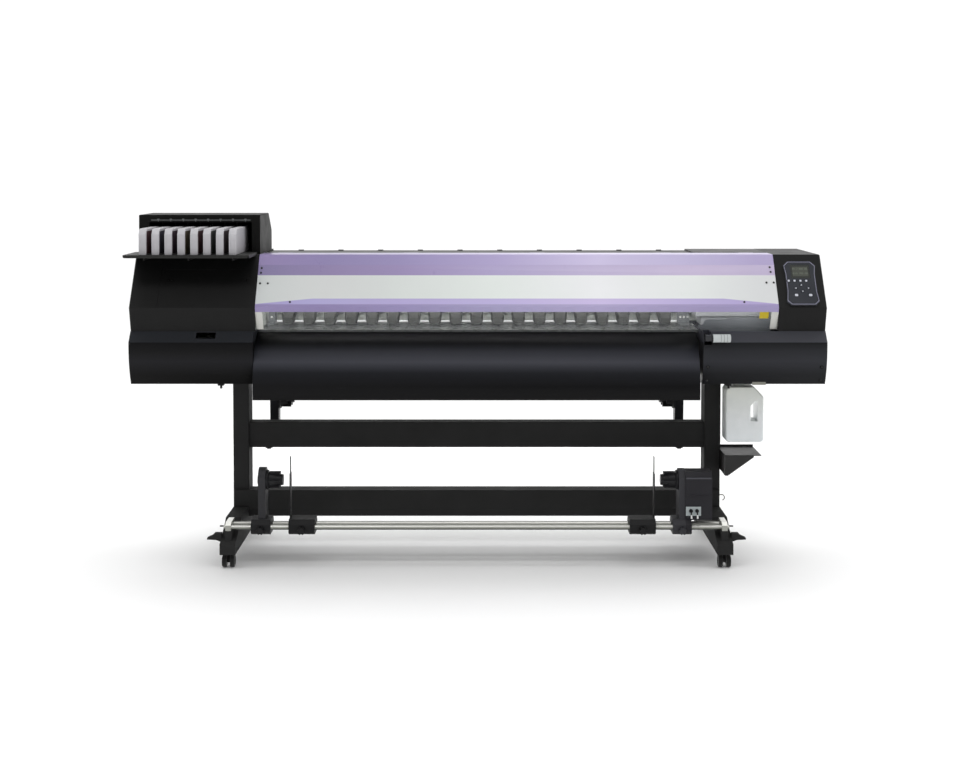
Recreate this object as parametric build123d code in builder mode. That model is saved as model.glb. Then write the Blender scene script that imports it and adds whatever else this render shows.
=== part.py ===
from build123d import *
import math
import os

# Wide-format roll printer on a wheeled stand, with ink station, lid, take-up unit and waste tank.
# Millimetres. Origin on the floor under the middle of the machine: X to the operator's right,
# Y away from the operator, Z up.

# Overall size and the main levels
HALF_WIDTH = 1387.5
HALF_DEPTH = 350.0
TOTAL_HEIGHT = 1392.0
COVER_BOTTOM = 723.0
COVER_SPLIT = 934.0
COVER_TOP = 1233.0
BACK = 247.0
WALL = 3.0
GAP = 0.3

# Covers, along X
LEFT_OUTER = -1376.0
LEFT_INNER = -878.0
LOWER_LEFT_INNER = -885.0
RIGHT_INNER = 1197.0
LOWER_RIGHT_INNER = 898.0
LID_X = (-876.0, 1196.0)
WINDOW_EDGE = 24.0

# Side profiles as (y, z)
STATION = [(BACK, COVER_TOP), (-165, COVER_TOP), (-302, 1030), (-274, COVER_SPLIT), (BACK, COVER_SPLIT)]
LOWER = [(-309, 894), (-274, COVER_SPLIT), (BACK, COVER_SPLIT), (BACK, COVER_BOTTOM), (-272, COVER_BOTTOM)]
LOWER_ARC = (-303, 808)
LID = [(-50, COVER_TOP), (-165, COVER_TOP), (-197, 1193), (-220, 1153), (-302, 1035), (-297, 1013)]
WINDOW = [(-291, 1030), (-290, 1010), (-257, 940)]
SLOPE_TOP = (-165.0, COVER_TOP)
SLOPE_FOOT = (-302.0, 1030.0)

# Media path
HEATER_HALF = 884.0
HEATER = [(-326, 666), (-172, 666), (-172, 895), (-191, 922)]
HEATER_ARC = (-297, 822)
REAR_GUIDE = [(275, 760), (224, 760), (224, 884), (129, 884), (129, 927)]
REAR_GUIDE_ARC = (243, 880)
REAR_GUIDE_X = (-879.0, 884.0)
PLATEN_X = (-879.0, 895.0)
PLATEN_TOP = 930.0
FEED_Y = 20.0
FEED_RADIUS = 10.0
FEED_Z = PLATEN_TOP - FEED_RADIUS - 0.5
JOURNAL_RADIUS = 6.0
RUNNING = 0.05

# Pinch arms and their rollers
ARM_COUNT = 19
ARM_PITCH = 87.5
LIFT_SHAFT = (112.0, 985.0)
LIFT_RADIUS = 7.0
ROLLER_RADIUS = 7.0
ROLLER_WIDTH = 24.0
ROLLER_Z = FEED_Z + FEED_RADIUS + ROLLER_RADIUS + GAP
ROLLER_AXLE = 2.0
ARM_SIDE = [(8, 934), (8, 958), (58, 992), (118, 996), (124, 985), (118, 973), (60, 953), (34, 934)]

# Lid hinge
HINGE = (-40.0, 1226.0)
HINGE_PIN = 4.0
KNUCKLE_RADIUS = 7.0
BRACKETS = (-862.0, -340.0, 180.0, 700.0, 1182.0)
KNUCKLES = (-790.0, -270.0, 250.0, 770.0, 1110.0)

# Carriage
CARRIAGE_X = (893.0, 1153.0)
RAIL_Y = (119.0, 135.0)
RAIL_Z = (1055.0, 1075.0)
BEAM_Y = (135.0, 205.0)

# Ink station
CARTRIDGES = 8
CARTRIDGE_PITCH = 50.6
CARTRIDGE_WIDTH = 29.5
CARTRIDGE_FIRST = -1311.5
INK_BOX_X = (-1372.0, -880.0)
SHELF_TOP = 1241.0

# Stand
LEG_X = 983.0
LEG_WIDTH = 66.0
LEG_DEPTH = 100.0
UPPER_BEAM_Z = (414.0, 437.0, 520.0)
FOOT_HALF = 31.0
FOOT_UNDER = 56.0
FOOT_TOP = 170.0
FOOT = [(-HALF_DEPTH, FOOT_UNDER), (-HALF_DEPTH, 97), (-252, 139), (-196, FOOT_TOP), (196, FOOT_TOP),
        (252, 139),
        (HALF_DEPTH, 97), (HALF_DEPTH, FOOT_UNDER)]
STEM_Y = 301.0
STEM_RADIUS = 5.0
WHEEL_RADIUS = 25.0
WHEEL_WIDTH = 17.0
WHEEL_OFFSET = 16.0
CASTER_TRAIL = 14.0
AXLE_RADIUS = 3.0

# Take-up unit
BAR_Z = 157.0
BAR_Y = (-310.0, -250.0)
BAR_RADIUS = 10.0
BAR_HALF = 1003.0
SADDLE_SPLIT = 146.8
BAR_SLACK = 0.2
CONE_AXIS = (-270.0, 339.0)
SPINDLE_RADIUS = 8.0
SWITCH_X = (849.0, 873.0)
SWITCH_PIVOT = (-332.5, 226.0)
PIVOT_RADIUS = 1.5

# Rear roll holders
ROLL_AXIS = (280.0, 595.0)
RAIL_SIZE = 36.0
RAIL_MID_Z = 420.0

ROTATION = {"x": (0, 90, 0), "y": (90, 0, 0), "z": (0, 0, 0)}


def save(piece, name):
    """Label a finished piece and write its STEP file."""
    piece.part.label = name
    export_step(piece.part, f"parts/{name}.step")


def span(side, near, far):
    """X range between two distances from the middle, on the left (-1) or right (1)."""
    return tuple(sorted((side * near, side * far)))


def block(x, y, z, mode=Mode.ADD):
    """Box between three (low, high) pairs."""
    with Locations(((x[0] + x[1]) / 2, (y[0] + y[1]) / 2, (z[0] + z[1]) / 2)):
        Box(x[1] - x[0], y[1] - y[0], z[1] - z[0], mode=mode)


def rod(axis, centre, radius, length, mode=Mode.ADD):
    """Round bar about its centre point, along one main axis."""
    with Locations(Location(centre, ROTATION[axis])):
        Cylinder(radius, length, mode=mode)


def prism(points, x, arc_through=None, inset=0.0, mode=Mode.ADD):
    """Side profile (y, z) carried along X; the closing side is an arc when arc_through is given."""
    with BuildSketch(Plane.YZ.offset(x[0])) as section:
        with BuildLine():
            Polyline(*points)
            if arc_through:
                ThreePointArc(points[-1], arc_through, points[0])
            else:
                Line(points[-1], points[0])
        make_face()
        if inset:
            offset(amount=-inset, kind=Kind.INTERSECTION)
    extrude(section.sketch, amount=x[1] - x[0], mode=mode)


def front_plate(points, y, mode=Mode.ADD):
    """Front profile (x, z) carried along Y between two values."""
    with BuildSketch(Plane.XZ.offset(-y[1])) as section:
        with BuildLine():
            Polyline(*points, close=True)
        make_face()
    extrude(section.sketch, amount=y[1] - y[0], mode=mode)


def inset_line(points, thickness):
    """A bent line set in to the left of its direction, mitred at the bends."""
    normals = []
    for (y0, z0), (y1, z1) in zip(points, points[1:]):
        length = math.hypot(y1 - y0, z1 - z0)
        normals.append(((z0 - z1) / length, (y1 - y0) / length))
    inner = []
    for i, (y, z) in enumerate(points):
        a = normals[max(i - 1, 0)]
        b = normals[min(i, len(normals) - 1)]
        scale = thickness / (1 + a[0] * b[0] + a[1] * b[1])
        inner.append((y + (a[0] + b[0]) * scale, z + (a[1] + b[1]) * scale))
    return inner


def bent_sheet(points, thickness, x, mode=Mode.ADD):
    """Sheet of one thickness bent along a line of (y, z) points."""
    prism(points + inset_line(points, thickness)[::-1], x, mode=mode)


def on_slope(z):
    """The y of the station covers' sloping front at a height."""
    share = (SLOPE_TOP[1] - z) / (SLOPE_TOP[1] - SLOPE_FOOT[1])
    return SLOPE_TOP[0] + share * (SLOPE_FOOT[0] - SLOPE_TOP[0])


def slope_plane(x, z):
    """Plane lying on the sloping front, facing out."""
    dy = SLOPE_FOOT[0] - SLOPE_TOP[0]
    dz = SLOPE_FOOT[1] - SLOPE_TOP[1]
    return Plane(origin=(x, on_slope(z), z), x_dir=(1, 0, 0), z_dir=(0, dz, -dy))


def foot_top(y):
    """Height of the foot's upper edge at y."""
    points = FOOT[1:-1]
    for (y0, z0), (y1, z1) in zip(points, points[1:]):
        if y0 <= y <= y1:
            return z0 + (z1 - z0) * (y - y0) / (y1 - y0)
    return FOOT_TOP


# ---------------------------------------------------------------- stand


def make_stand(name, side):
    """Leg welded on a long foot, with caster sockets, a seat for the take-up bars and a tie-down tab."""
    with BuildPart() as stand:
        prism(FOOT, span(side, LEG_X - FOOT_HALF, LEG_X + FOOT_HALF))
        with BuildSketch(Plane.XY.offset(FOOT_TOP - 5)):
            with Locations((side * LEG_X, LEG_DEPTH / 2)):
                RectangleRounded(LEG_WIDTH, LEG_DEPTH, 5)
        extrude(amount=COVER_BOTTOM - FOOT_TOP + 5)
        prism(FOOT, span(side, LEG_X - FOOT_HALF + WALL, LEG_X + FOOT_HALF - WALL), inset=WALL,
              mode=Mode.SUBTRACT)
        block(span(side, LEG_X - LEG_WIDTH / 2 + WALL, LEG_X + LEG_WIDTH / 2 - WALL),
              (WALL, LEG_DEPTH - WALL),
              (FOOT_TOP + WALL, COVER_BOTTOM - WALL), Mode.SUBTRACT)
        for y in (-STEM_Y, STEM_Y):
            rod("z", (side * LEG_X, y, FOOT_UNDER + 12), 11, 24)
            rod("z", (side * LEG_X, y, FOOT_UNDER + 10), STEM_RADIUS + RUNNING, 20, Mode.SUBTRACT)
        top = SADDLE_SPLIT - 0.2
        prism([(-330, foot_top(-330) - 1), (-330, top), (-239, top), (-252, foot_top(-252) - 1)],
              span(side, LEG_X - 13, LEG_X + 13))
        tab = [(LEG_X + 30, 98), (LEG_X + 30, 133), (1040, 133), (1050, 123), (1070, 114), (1070, 108),
               (1034, 106)]
        front_plate([(side * x, z) for x, z in tab], (-312, -288))
    save(stand, name)


def make_upper_beam():
    """Box beam between the legs with a narrower duct band and two low screw knobs under it."""
    half = LEG_X - LEG_WIDTH / 2
    bottom, step, top = UPPER_BEAM_Z
    with BuildPart() as beam:
        block((-half, half), (12, 82), (step, top))
        fillet(beam.edges().filter_by(Axis.X), 3)
        block((-half, half), (16, 78), (bottom, step + 1))
        block((-half + WALL, half - WALL), (12 + WALL, 82 - WALL), (step + WALL, top - WALL), Mode.SUBTRACT)
        block((-half + WALL, half - WALL), (16 + WALL, 78 - WALL), (bottom + WALL, step), Mode.SUBTRACT)
        for x in (-871, 850):
            rod("z", (x, 34, bottom - 2), 15, 6)
            rod("z", (x, 34, bottom - 6), 9, 6)
    save(beam, "upper_beam")


def make_lower_beam():
    """Deep beam bolted across the fronts of both legs, with a bevelled lower front edge."""
    half = LEG_X - LEG_WIDTH / 2
    front = [(-16, 240), (-16, 160), (-5, 129), (0, 129), (0, 240)]
    with BuildPart() as beam:
        prism(front, (-1012, 1012))
        block((-half, half), (0, 60), (129, 240))
        block((-half + WALL, half - WALL), (-5, 60 - WALL), (129 + WALL, 240 - WALL), Mode.SUBTRACT)
        for side in (-1, 1):
            block(span(side, LEG_X - FOOT_HALF - 1, 1020), (-20, 1), (120, FOOT_TOP + 1), Mode.SUBTRACT)
    save(beam, "lower_beam")


def make_rear_rail():
    """Square rail behind the legs that carries the supply roll holders."""
    half = RAIL_SIZE / 2
    with BuildPart() as rail:
        block((-1012, 1012), (ROLL_AXIS[0] - half, ROLL_AXIS[0] + half),
              (RAIL_MID_Z - half, RAIL_MID_Z + half))
        block((-1008, 1008), (ROLL_AXIS[0] - half + WALL, ROLL_AXIS[0] + half - WALL),
              (RAIL_MID_Z - half + WALL, RAIL_MID_Z + half - WALL), Mode.SUBTRACT)
        for side in (-1, 1):
            block(span(side, 955, 1001), (LEG_DEPTH, ROLL_AXIS[0] - half), (RAIL_MID_Z - 14, RAIL_MID_Z + 14))
            block(span(side, 951, 1015), (LEG_DEPTH, LEG_DEPTH + 5), (RAIL_MID_Z - 40, RAIL_MID_Z + 40))
    save(rail, "rear_rail")


def make_caster(end, side, y_sign):
    """Swivel fork with its stem and axle, and the twin wheels either side of it."""
    x = side * LEG_X
    stem_y = y_sign * STEM_Y
    axle_y = stem_y + y_sign * CASTER_TRAIL
    hub = [(stem_y - 10 * y_sign, 54), (stem_y + 12 * y_sign, 54), (axle_y + 7 * y_sign, 30),
           (axle_y + 6 * y_sign, 19),
           (axle_y - 6 * y_sign, 19)]
    with BuildPart() as fork:
        rod("z", (x, stem_y, FOOT_UNDER - GAP - 2), 16, 4)
        rod("z", (x, stem_y, FOOT_UNDER + 8), STEM_RADIUS, 18)
        prism(hub, (x - 6, x + 6))
        rod("x", (x, axle_y, WHEEL_RADIUS), AXLE_RADIUS, 2 * (WHEEL_OFFSET + WHEEL_WIDTH / 2) - 2)
    save(fork, f"caster_fork_{end}")
    with BuildPart() as wheels:
        with Locations(*[Location((x + s * WHEEL_OFFSET, axle_y, WHEEL_RADIUS), ROTATION["x"])
                         for s in (-1, 1)]):
            Cylinder(WHEEL_RADIUS, WHEEL_WIDTH)
        fillet(wheels.edges().filter_by(GeomType.CIRCLE), 3.5)
        rod("x", (x, axle_y, WHEEL_RADIUS), AXLE_RADIUS + RUNNING, 60, Mode.SUBTRACT)
        with Locations(*[Location((x + s * (WHEEL_OFFSET + WHEEL_WIDTH / 2), axle_y, WHEEL_RADIUS),
                                  ROTATION["x"])
                         for s in (-1, 1)]):
            Cylinder(15, 5, mode=Mode.SUBTRACT)
    save(wheels, f"caster_wheels_{end}")


# ---------------------------------------------------------------- machine frame


def make_chassis():
    """Welded frame: base beam, two side plates, cross beam for the carriage rail and a bearing plate."""
    inset_profile = [(238, 1226), (-161, 1226), (-294, 1030), (-267, 995), (-248, 938),
                     (-20, 938), (-20, 880),
                     (220, 880), (220, 938), (238, 938)]
    left_plate = (-884.5, -879.5)
    right_plate = (1197.5, 1202.5)
    with BuildPart() as chassis:
        block((-1340, 1350), (0, 220), (COVER_BOTTOM, 880))
        block((-1337, 1347), (WALL, 220 - WALL), (COVER_BOTTOM + WALL, 880 - WALL), Mode.SUBTRACT)
        for plate in (left_plate, right_plate):
            prism(inset_profile, plate)
        block((left_plate[1], right_plate[0]), BEAM_Y, (934, 1140))
        block((left_plate[1] + 1, right_plate[0] - 1), (BEAM_Y[0] + WALL, BEAM_Y[1] - WALL), (937, 1137),
              Mode.SUBTRACT)
        block((897, 902), (0, 45), (878, 932))
        rod("x", (0, FEED_Y, FEED_Z), JOURNAL_RADIUS + RUNNING, 1820, Mode.SUBTRACT)
        for x in (-870, -300, 300, 889):
            block((x - 3, x + 3), (106, BEAM_Y[0]), (LIFT_SHAFT[1] - 9, LIFT_SHAFT[1] + 14))
        rod("x", (0, *LIFT_SHAFT), LIFT_RADIUS + RUNNING, 1790, Mode.SUBTRACT)
    save(chassis, "chassis")


def make_carriage_drive():
    """Guide rail on the cross beam, with the belt loop over two pulleys and the belt motor."""
    loop_z = 1115.0
    pulley = 13.0
    left = -855.0
    right = 1175.0
    belt_y = (122.0, 130.0)
    middle = (left + right) / 2
    with BuildPart() as drive:
        block((-874, 1150), RAIL_Y, RAIL_Z)
        with BuildSketch(Plane.XZ.offset(-belt_y[1])):
            with Locations((middle, loop_z)):
                SlotCenterToCenter(right - left, 2 * (pulley + 1.6))
                SlotCenterToCenter(right - left, 2 * pulley, mode=Mode.SUBTRACT)
        extrude(amount=belt_y[1] - belt_y[0])
        for x in (left, right):
            rod("y", (x, 126, loop_z), pulley, 10)
            rod("y", (x, 128, loop_z), 4, 14)
        rod("y", (right, 92, loop_z), 20, 58)
        rod("y", (right, 62, loop_z), 14, 6)
    save(drive, "carriage_drive")


def make_platen():
    """Flat media table with a slot for the feed roller, a front lip and support ribs."""
    with BuildPart() as platen:
        block(PLATEN_X, (-186, 125), (924, PLATEN_TOP))
        block(PLATEN_X, (-186, -183), (917, 926))
        block((PLATEN_X[0] + 7, PLATEN_X[1] - 7), (8, 32), (920, 932), Mode.SUBTRACT)
        block(PLATEN_X, (12, 28), (922, 926), Mode.SUBTRACT)
        for i in range(9):
            x = PLATEN_X[0] + 60 + i * 207
            block((x - 4, x + 4), (44, 125), (880, 925))
    save(platen, "platen")


def make_after_heater():
    """Long curved guide that dries the print on its way down to the take-up."""
    with BuildPart() as heater:
        prism(HEATER, (-HEATER_HALF, HEATER_HALF), arc_through=HEATER_ARC)
        prism(HEATER, (-HEATER_HALF + WALL, HEATER_HALF - WALL), arc_through=HEATER_ARC, inset=WALL,
              mode=Mode.SUBTRACT)
    save(heater, "after_heater")


def make_rear_guide():
    """Curved guide that leads the media up from the supply roll to the platen."""
    with BuildPart() as guide:
        prism(REAR_GUIDE, REAR_GUIDE_X, arc_through=REAR_GUIDE_ARC)
        prism(REAR_GUIDE, (REAR_GUIDE_X[0] + WALL, REAR_GUIDE_X[1] - WALL), arc_through=REAR_GUIDE_ARC,
              inset=WALL,
              mode=Mode.SUBTRACT)
    save(guide, "rear_guide")


def make_feed_roller():
    """Grit roller under the platen slot, with thinner journals."""
    with BuildPart() as roller:
        rod("x", (8, FEED_Y, FEED_Z), FEED_RADIUS, 1752)
        rod("x", (8.5, FEED_Y, FEED_Z), JOURNAL_RADIUS, 1785)
    save(roller, "feed_roller")


def arm_centres():
    """X of each pinch arm."""
    return [(i - (ARM_COUNT - 1) / 2) * ARM_PITCH for i in range(ARM_COUNT)]


def make_pinch_arms():
    """Lift shaft with a row of arms, each forked at the nose around its roller."""
    axle_centre = (0, FEED_Y, ROLLER_Z)
    with BuildPart() as arm:
        prism(ARM_SIDE, (-27, 27))
        with BuildSketch(Plane.XY.offset(920)):
            with BuildLine():
                Polyline((-20, 0), (-20, 26), (-27, 48), (-27, 130), (27, 130), (27, 48), (20, 26), (20, 0),
                         close=True)
            make_face()
        extrude(amount=90, mode=Mode.INTERSECT)
        rod("x", axle_centre, ROLLER_RADIUS + 0.8, ROLLER_WIDTH + 1, Mode.SUBTRACT)
        block((-ROLLER_WIDTH / 2 - 0.5, ROLLER_WIDTH / 2 + 0.5),
              (FEED_Y - ROLLER_RADIUS - 0.8, FEED_Y + ROLLER_RADIUS + 0.8),
              (930, ROLLER_Z), Mode.SUBTRACT)
        rod("x", axle_centre, ROLLER_AXLE + RUNNING, 50, Mode.SUBTRACT)
    with BuildPart() as arms:
        with Locations(*[(x, 0, 0) for x in arm_centres()]):
            add(arm.part)
        rod("x", (9.5, *LIFT_SHAFT), LIFT_RADIUS, 1773)
    save(arms, "pinch_arms")


def make_pinch_rollers():
    """One small roller with its axle for each pinch arm."""
    with BuildPart() as rollers:
        for x in arm_centres():
            rod("x", (x, FEED_Y, ROLLER_Z), ROLLER_RADIUS, ROLLER_WIDTH)
            rod("x", (x, FEED_Y, ROLLER_Z), ROLLER_AXLE, 39)
    save(rollers, "pinch_rollers")


def make_carriage():
    """Print head carriage: cover above the media, heads below and a shoe round the guide rail."""
    side = [(-140, 979), (-140, 1150), (-104, 1188), (118, 1188), (118, 1091), (132, 1091),
            (132, RAIL_Z[1] + 0.1), (RAIL_Y[0] - 0.4, RAIL_Z[1] + 0.1), (RAIL_Y[0] - 0.4, RAIL_Z[0] - 0.1),
            (132, RAIL_Z[0] - 0.1), (132, 1040), (118, 1040), (118, 1012), (-3, 1012), (-3, 979)]
    with BuildPart() as carriage:
        prism(side, CARRIAGE_X)
        block((CARRIAGE_X[0] + 20, CARRIAGE_X[1] - 20), (-130, -5), (944, 980))
        for i in range(2):
            x = CARRIAGE_X[0] + 75 + i * 110
            block((x - 36, x + 36), (-118, -18), (COVER_SPLIT, 946))
    save(carriage, "carriage")


def make_capping_unit():
    """Maintenance tray beside the platen: front wall with a stepped corner, caps and a wiper."""
    wall = [(902, 905), (902, 937), (897, 937), (897, 950), (914, 950), (922, 966), (940, 978), (1190, 978),
            (1190, 905)]
    with BuildPart() as unit:
        front_plate(wall, (-178, -175))
        block((905, 1190), (-176, 60), (905, 909))
        block((905, 1190), (20, 58), (880, 906))
        for i in range(2):
            x = CARRIAGE_X[0] + 75 + i * 110
            block((x - 38, x + 38), (-122, -14), (908, 931))
            block((x - 30, x + 30), (-112, -24), (920, 932), Mode.SUBTRACT)
        block((1150, 1156), (-120, -20), (908, 932))
        block((928, 1010), (-179, -174), (971, 976), Mode.SUBTRACT)
    save(unit, "capping_unit")


# ---------------------------------------------------------------- covers


def make_station_cover(name, outer, inner):
    """Upper end cover: a shell open below and towards the media."""
    x = (min(outer, inner), max(outer, inner))
    cavity = (x[0] + WALL, x[1] + 1) if outer < inner else (x[0] - 1, x[1] - WALL)
    with BuildPart() as cover:
        prism(STATION, x)
        end = cover.faces().sort_by(Axis.X)[0 if outer < inner else -1]
        fillet(end.edges().filter_by(Plane.YZ).sort_by(Axis.Z)[1:], 7)
        prism(STATION, cavity, inset=WALL, mode=Mode.SUBTRACT)
        block(cavity, (-270.5, BACK - WALL), (COVER_SPLIT - 1, COVER_SPLIT + WALL + 1), Mode.SUBTRACT)
        if name == "left_station_cover":
            cut = slope_plane(-1080, 1163)
            with BuildSketch(cut.offset(-1.5)):
                Rectangle(350, 31)
            extrude(amount=5, mode=Mode.SUBTRACT)
            with BuildSketch(slope_plane(-1265, 1131).offset(-1.2)):
                Rectangle(2.4, 244)
            extrude(amount=5, mode=Mode.SUBTRACT)
    save(cover, name)


def make_lower_cover(name, outer, inner):
    """Lower end cover: bevelled top edge, curved front, open above and behind the bottom flange."""
    x = (min(outer, inner), max(outer, inner))
    cavity = (x[0] + WALL, x[1] - WALL)
    inner_wall = (inner - WALL - 1, inner + 1) if outer < inner else (inner - 1, inner + WALL + 1)
    with BuildPart() as cover:
        prism(LOWER, x, arc_through=LOWER_ARC)
        prism(LOWER, cavity, arc_through=LOWER_ARC, inset=WALL, mode=Mode.SUBTRACT)
        block(cavity, (-267, BACK - WALL), (COVER_SPLIT - WALL - 1, COVER_SPLIT + 1), Mode.SUBTRACT)
        block(cavity, (-20, BACK - WALL), (COVER_BOTTOM - 1, COVER_BOTTOM + WALL + 1), Mode.SUBTRACT)
        block(inner_wall, (-20, BACK - WALL), (COVER_BOTTOM - 1, COVER_SPLIT + 1), Mode.SUBTRACT)
        if name == "left_lower_cover":
            block((-1112, -1035), (-322, -271), (907, 929), Mode.SUBTRACT)
        else:
            block((1146, 1204), (BACK - WALL - 1, BACK + 1), (836, 866), Mode.SUBTRACT)
            prism([(-212, 880), (-212, 932), (-272, 932), (-306, 893), (-305, 880)], (898, 935))
            block((901, 932), (-330, -215), (884, 940), Mode.SUBTRACT)
            rod("x", (916, -240, 905), 5, 36)
    save(cover, name)


def make_top_cover():
    """Folded cover over the top and back of the machine, with the lid's hinge rod and its brackets."""
    low_top = COVER_TOP - 6
    raised = (896.0, LID_X[1])
    with BuildPart() as cover:
        bent_sheet([(BACK, 960), (BACK, low_top - 12), (BACK - 12, low_top), (-30, low_top)], WALL,
                   (LID_X[0], raised[0]))
        bent_sheet([(BACK, 960), (BACK, COVER_TOP - 12), (BACK - 12, COVER_TOP), (-30, COVER_TOP)], WALL,
                   raised)
        block((raised[0], raised[0] + WALL), (-30, BACK - 8), (low_top - WALL, COVER_TOP - 1))
        rod("x", (160, *HINGE), HINGE_PIN, 2064)
        for x in BRACKETS:
            rod("x", (x, *HINGE), KNUCKLE_RADIUS - 0.5, 20)
            block((x - 10, x + 10), (HINGE[0], -26), (1220, low_top - 1))
        for x in (960.0, 1160.0):
            block((x - 6, x + 6), (-30, -26), (1222, COVER_TOP - 1))
        for i in range(10):
            x = LID_X[0] + 120 + i * 171
            block((x - 11, x + 11), (BACK - 26, BACK - 12), (low_top - 1, low_top + 3))
    save(cover, "top_cover")


def make_front_lid():
    """Long lid hinged at the top, with end plates, hinge knuckles and pale end strips beside the window."""
    ends = ((LID_X[0], LID_X[0] + WALL), (LID_X[1] - WALL, LID_X[1]))
    end_profile = LID + [(-257, 940), (-240, 940), (-262, 1010), (-200, 1110), (-150, 1200), (-70, 1222),
                         (-50, 1222)]
    strips = ((LID_X[0] + WALL, LID_X[0] + WALL + WINDOW_EDGE),
              (LID_X[1] - WALL - WINDOW_EDGE, LID_X[1] - WALL))
    with BuildPart() as lid:
        bent_sheet(LID, WALL, LID_X)
        for x in ends:
            prism(end_profile, x)
        for x in strips:
            bent_sheet([(-291, 1020), (-290, 1010), (-257, 940)], WALL, x)
            block(x, (-296.5, -289), (1014, 1018))
        for x in KNUCKLES:
            rod("x", (x, *HINGE), KNUCKLE_RADIUS, 60)
            block((x - 30, x + 30), (-52, HINGE[0]), (COVER_TOP - WALL, COVER_TOP))
        rod("x", (160, *HINGE), HINGE_PIN + RUNNING, 2200, Mode.SUBTRACT)
    save(lid, "front_lid")


def make_lid_window():
    """Clear plate below the lid, through which the platen is watched."""
    with BuildPart() as window:
        bent_sheet(WINDOW, WALL, (LID_X[0] + WALL + WINDOW_EDGE + 0.5, LID_X[1] - WALL - WINDOW_EDGE - 0.5))
    save(window, "lid_window")


def make_cover_screws():
    """Cover screws: four in the left cover's slope and four in the right lower cover."""
    with BuildPart() as screws:
        for x in (-1234, -1217, -935, -918):
            with BuildSketch(slope_plane(x, 1134).offset(-2)):
                Circle(3.6)
            extrude(amount=3.6)
        for x in (917, 1368):
            for z, y in ((794, -300), (738, -278)):
                rod("y", (x, y, z), 4.5, 8)
    save(screws, "cover_screws")


# ---------------------------------------------------------------- ink station


def make_ink_box():
    """Box on the left cover with a bay for each cartridge."""
    profile = [(-125, COVER_TOP), (-125, TOTAL_HEIGHT), (118, TOTAL_HEIGHT), (207, 1316), (207, COVER_TOP)]
    bays = (-1330.0, -914.0)
    with BuildPart() as box:
        prism(profile, INK_BOX_X)
        fillet(box.edges().filter_by(Axis.Y).group_by(Axis.Z)[-1], 4)
        prism([(-126, SHELF_TOP), (-126, 1362), (138, 1362), (190, 1318), (190, SHELF_TOP)], bays,
              mode=Mode.SUBTRACT)
        block((INK_BOX_X[0] + WALL, INK_BOX_X[1] - WALL), (-120, 112), (1372, TOTAL_HEIGHT - WALL),
              Mode.SUBTRACT)
        for i in range(CARTRIDGES - 1):
            x = CARTRIDGE_FIRST + (i + 0.5) * CARTRIDGE_PITCH
            prism([(-70, SHELF_TOP - 1), (-70, 1363), (139, 1363), (191, 1319), (191, SHELF_TOP - 1)],
                  (x - 2, x + 2))
        block((-1318, -926), (186, 191), (1262, 1320))
    save(box, "ink_box")


def make_ink_shelf():
    """Shelf that holds the fronts of the cartridges, with a turned-down front lip."""
    x = (-HALF_WIDTH, -891.0)
    with BuildPart() as shelf:
        block(x, (-HALF_DEPTH, -125), (COVER_TOP, SHELF_TOP))
        fillet(shelf.edges().filter_by(Axis.Z).group_by(Axis.Y)[0], 8)
        block((x[0] + 8, x[1] - 8), (-HALF_DEPTH, -HALF_DEPTH + WALL), (COVER_TOP - 4, COVER_TOP + 1))
        for end in (x[0], x[1] - WALL):
            block((end, end + WALL), (-HALF_DEPTH + 12, -175), (COVER_TOP - 4, COVER_TOP + 1))
        for rib_x in (-1310, -1135, -960):
            block((rib_x, rib_x + 4), (-330, -178), (COVER_TOP - 14, COVER_TOP + 1))
    save(shelf, "ink_shelf")


def make_cartridge(index):
    """Flat ink cartridge, longer than it is tall, with a grip step at the front."""
    x = CARTRIDGE_FIRST + index * CARTRIDGE_PITCH
    bottom = SHELF_TOP + GAP
    profile = [(-335, bottom), (-335, 1322), (-318, 1344), (-40, 1344), (-15, 1334), (-15, bottom)]
    half = CARTRIDGE_WIDTH / 2
    with BuildPart() as cartridge:
        prism(profile, (x - half, x + half))
        fillet(cartridge.edges().filter_by(Plane.YZ), 2.5)
        block((x - 9, x + 9), (-336, -333), (1256, 1300), Mode.SUBTRACT)
    save(cartridge, f"ink_cartridge_{index + 1}")


# ---------------------------------------------------------------- controls


def make_control_panel():
    """Bezel on the right cover's slope, with a pocket for the display."""
    plane = slope_plane(1295, 1120)
    half = [(47, 100), (65, 82), (60, 44), (60, -40), (65, -78), (65, -84), (49, -100)]
    outline = half + [(-x, y) for x, y in reversed(half)]
    with BuildPart() as panel:
        with BuildSketch(plane.offset(0.1)):
            with BuildLine():
                Polyline(*outline, close=True)
            make_face()
        extrude(amount=8)
        top = panel.faces().sort_by(Axis(plane.origin, plane.z_dir))[-1]
        chamfer(top.edges(), 2)
        with BuildSketch(plane.offset(5.1)):
            with Locations((1.5, 52.5)):
                RectangleRounded(78, 64, 3)
        extrude(amount=6, mode=Mode.SUBTRACT)
    save(panel, "control_panel")
    with BuildPart() as screen:
        with BuildSketch(plane.offset(5.2)):
            with Locations((1.5, 52.5)):
                RectangleRounded(77.4, 63.4, 2.7)
        extrude(amount=2)
    save(screen, "lcd_screen")


def make_clamp_lever():
    """Lever with a cross grip that lifts the pinch arms."""
    arm = [(-240, 917), (-247, 894), (-318, 898), (-334, 902), (-334, 922), (-318, 926)]
    with BuildPart() as lever:
        rod("x", (916.5, -240, 905), 12, 27)
        prism(arm, (903, 930))
        rod("x", (965.5, -330, 912), 16, 71)
        fillet(lever.edges().filter_by(GeomType.CIRCLE).sort_by(Axis.X)[-1], 4)
        for i in range(3):
            x = 962 + i * 12
            with Locations(Location((x, -330, 912), ROTATION["x"])):
                Torus(16.2, 1.2, mode=Mode.SUBTRACT)
        rod("x", (916, -240, 905), 5 + RUNNING, 60, Mode.SUBTRACT)
    save(lever, "clamp_lever")


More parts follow.
